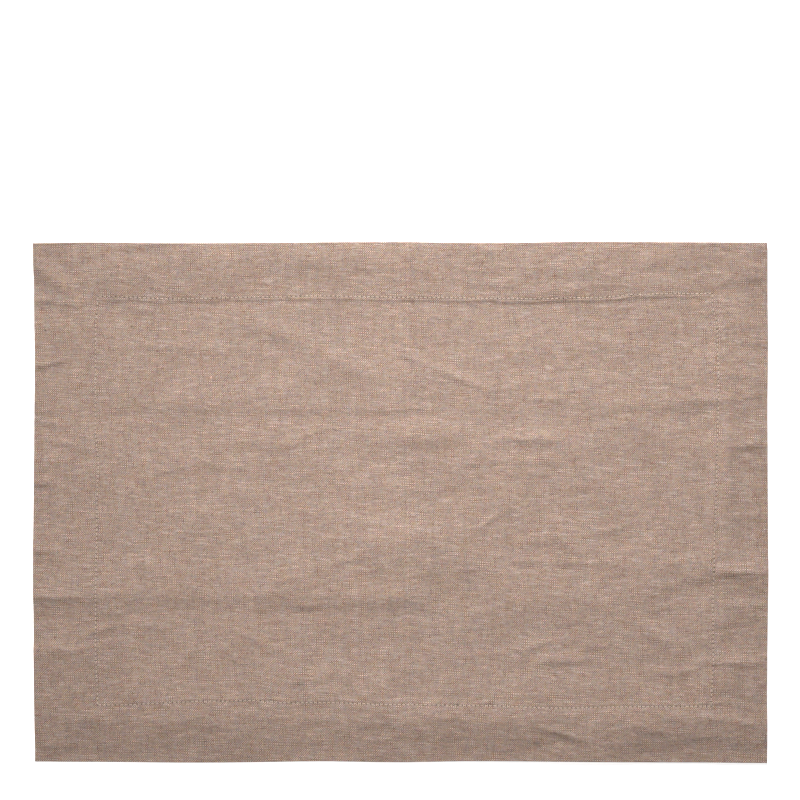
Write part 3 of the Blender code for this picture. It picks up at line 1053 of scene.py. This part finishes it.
def linen():
    """Plain-weave linen with slubby threads, taupe with a pinkish cast."""
    nodes = Nodes("linen")
    x, y = nodes.cloth_place()
    threads, weave_colour = weave(nodes, x, y)
    # the needle holes are dented in the bump and darkened by painted shade in the colour
    holes = needle_holes(nodes, x, y)
    blotch = nodes.noises(x, y, BLOTCH_RUN, BLOTCH_RUN, 2.0)[0]
    # the neps are the yarn's own; the paler line along the middle fold is wear and a painted highlight on
    # its crest
    spots = nep_tone(nodes, x, y) + fold_wear_and_highlight(nodes, x) * FOLD_WEAR_HIGHLIGHT_TONE
    strength = (BLOTCH_LOW + blotch * BLOTCH_SPREAD) * (1.0 - holes * HOLE_SHADE) * (1.0 + spots)
    shade = nodes.add("VectorMath", {0: LINEN_COLOUR, "Scale": strength}, operation="SCALE")
    colour = nodes.add("VectorMath", {0: weave_colour, 1: shade}, operation="MULTIPLY")
    height = threads * WEAVE_DEPTH + small_creases(nodes, x, y) - holes * HOLE_DEPTH
    bump = nodes.add("Bump", {"Height": height, "Strength": 1.0, "Distance": 1.0})
    nodes.set({"Base Color": colour, "Normal": bump, "Roughness": 0.96 - threads * 0.12})
    nodes.set({"Sheen Weight": 0.12, "Sheen Roughness": 0.5, "Specular IOR Level": 0.25})
    return nodes.material


def sewing_thread():
    """The thread of the stitching, a little paler than the cloth."""
    nodes = Nodes("sewing_thread")
    place = nodes.add("TexCoord", {}, 3)
    fibre = nodes.add("TexNoise", {"Vector": place, "Scale": FIBRES, "Detail": 1.0})
    colour = nodes.add("VectorMath", {0: SEWN_COLOUR, "Scale": 0.8 + fibre * 0.4}, operation="SCALE")
    bump = nodes.add("Bump", {"Height": fibre, "Strength": 0.6, "Distance": FIBRE_DEPTH})
    nodes.set({"Base Color": colour, "Normal": bump, "Roughness": 0.75 + fibre * 0.1})
    nodes.set({"Specular IOR Level": 0.3})
    return nodes.material


# ---------------------------------------------------------------- the studio

CAMERA_LENS, CAMERA_SENSOR = 85.0, 36.0  # in millimetres
VIEW_MIDDLE = Vector((-0.4 * MM, 69.8 * MM, 0.0))
VIEW_WIDTH = 545.4 * MM
FLOOR_SIZE = 8.0
FLOOR_DROP = 0.2 * MM  # below the mat's back

Softbox = namedtuple("Softbox", "place aim size beam power")
KEY = Softbox(
    place=(-0.55, 2.25, 1.15), aim=(0.115, 0.19, 0.0), size=(0.7, 0.4), beam=radians(23.5), power=3.35
)
FILL = Softbox(
    place=(-0.32, -0.03, 1.7), aim=(-0.32, -0.03, 0.0), size=(0.6, 0.6), beam=radians(26), power=0.455
)
WORLD_STRENGTH = 0.1


def camera():
    """A camera straight above, with the mat in the lower part of its view."""
    data = bpy.data.cameras.new("camera")
    data.lens, data.sensor_width = CAMERA_LENS, CAMERA_SENSOR
    data.clip_start, data.clip_end = 0.05, 20.0
    seen = bpy.data.objects.new("camera", data)
    seen.location = VIEW_MIDDLE + Vector((0.0, 0.0, VIEW_WIDTH * CAMERA_LENS / CAMERA_SENSOR))
    bpy.context.scene.collection.objects.link(seen)
    bpy.context.scene.camera = seen


def floor():
    """A white floor, just bright enough to show white."""
    nodes = Nodes("white_floor")
    nodes.set({"Base Color": (0.92, 0.92, 0.92), "Roughness": 0.8})
    nodes.set({"Emission Color": (1.0, 1.0, 1.0), "Emission Strength": 0.8})
    bpy.ops.mesh.primitive_plane_add(size=FLOOR_SIZE, location=(0.0, 0.0, -FLOOR_DROP))
    plane = bpy.context.object
    plane.name = "floor"
    plane.data.materials.append(nodes.material)


def add_softbox(name, box):
    """A soft rectangular light that points at its aim, with a beam of its angle."""
    data = bpy.data.lights.new(name, "AREA")
    data.shape = "RECTANGLE"
    data.size, data.size_y = box.size
    data.spread = box.beam
    data.energy = box.power
    lamp = bpy.data.objects.new(name, data)
    lamp.location = box.place
    lamp.rotation_mode = "QUATERNION"
    lamp.rotation_quaternion = (Vector(box.aim) - Vector(box.place)).to_track_quat("-Z", "Y")
    bpy.context.scene.collection.objects.link(lamp)


def studio():
    """A camera, a white floor, two soft lights and an even, dim world."""
    camera()
    floor()
    add_softbox("key", KEY)
    add_softbox("fill", FILL)
    world = bpy.data.worlds.new("world")
    world.use_nodes = True
    world.node_tree.nodes["Background"].inputs["Color"].default_value = (1.0, 1.0, 1.0, 1.0)
    world.node_tree.nodes["Background"].inputs["Strength"].default_value = WORLD_STRENGTH
    bpy.context.scene.world = world
    bpy.context.scene.view_settings.view_transform = "Standard"
    bpy.context.scene.cycles.denoising_prefilter = "NONE"  # otherwise the weave is taken for noise


# ---------------------------------------------------------------- the whole scene


def main():
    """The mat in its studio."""
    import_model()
    cloth, middle = cloth_piece(linen())
    stitching = stitching_piece(sewing_thread(), middle)
    cut_area()
    studio()


main()
